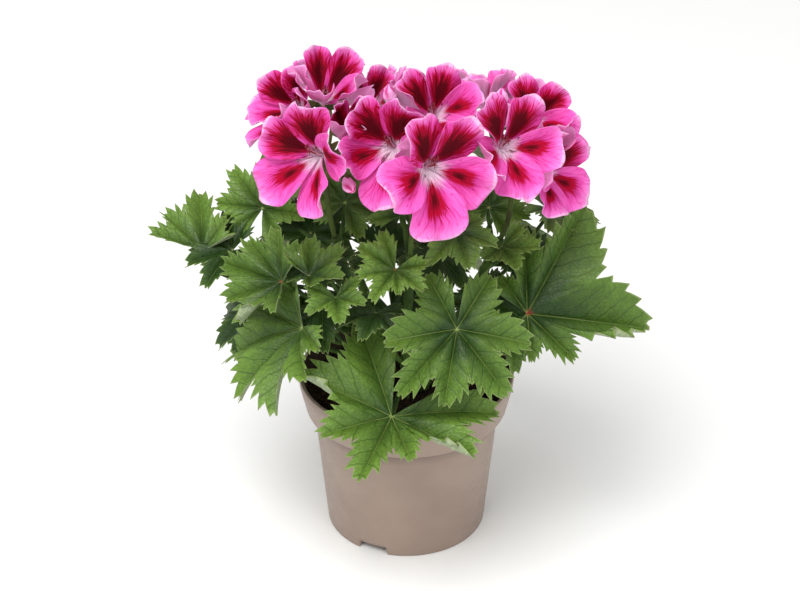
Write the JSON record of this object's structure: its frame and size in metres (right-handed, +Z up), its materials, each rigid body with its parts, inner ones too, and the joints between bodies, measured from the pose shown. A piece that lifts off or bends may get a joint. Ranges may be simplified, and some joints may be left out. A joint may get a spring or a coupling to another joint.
{
  "type": "potted regal pelargonium",
  "caption": "Flowering regal pelargonium in a round tapered nursery pot with a wide collar: toothed lobed leaves and clustered ruffled two-tone blooms.",
  "frame": {"origin": "centre of the underside of the pot, on the surface it stands on", "axes": "+Z up along the pot's axis, -Y towards the front of the plant as pictured, +X to the right of that view"},
  "size_m": [0.2729, 0.2261, 0.2978],
  "materials": {
    "pot_plastic": "satin taupe, moulded",
    "compost": "damp, crumbly",
    "leaf_green": "soft satin with a paler underside",
    "petal_pink": "velvety, blotched dark maroon with a pale throat"
  },
  "bodies": {
    "root": {"pot": "pot_plastic", "soil": "compost", "leafy_stem_left": "leaf_green", "leafy_stem_front": "leaf_green", "leafy_stem_right": "leaf_green", "leafy_stem_right_back": "leaf_green", "leafy_stem_back": "leaf_green", "leafy_stem_left_back": "leaf_green", "bloom_1": "petal_pink", "bloom_2": "petal_pink", "bloom_3": "petal_pink", "bloom_4": "petal_pink", "bloom_5": "petal_pink", "bloom_6": "petal_pink", "bloom_7": "petal_pink", "bloom_8": "petal_pink", "bloom_9": "petal_pink", "bloom_10": "petal_pink", "bloom_11": "petal_pink", "bloom_12": "petal_pink", "bloom_13": "petal_pink", "bloom_14": "petal_pink", "bloom_15": "petal_pink", "bloom_16": "petal_pink", "bloom_17": "petal_pink", "bloom_18": "petal_pink", "bloom_19": "petal_pink", "bloom_20": "petal_pink", "bud_1": "petal_pink", "bud_2": "petal_pink", "bud_3": "petal_pink", "bud_4": "petal_pink"}
  },
  "joints": []
}
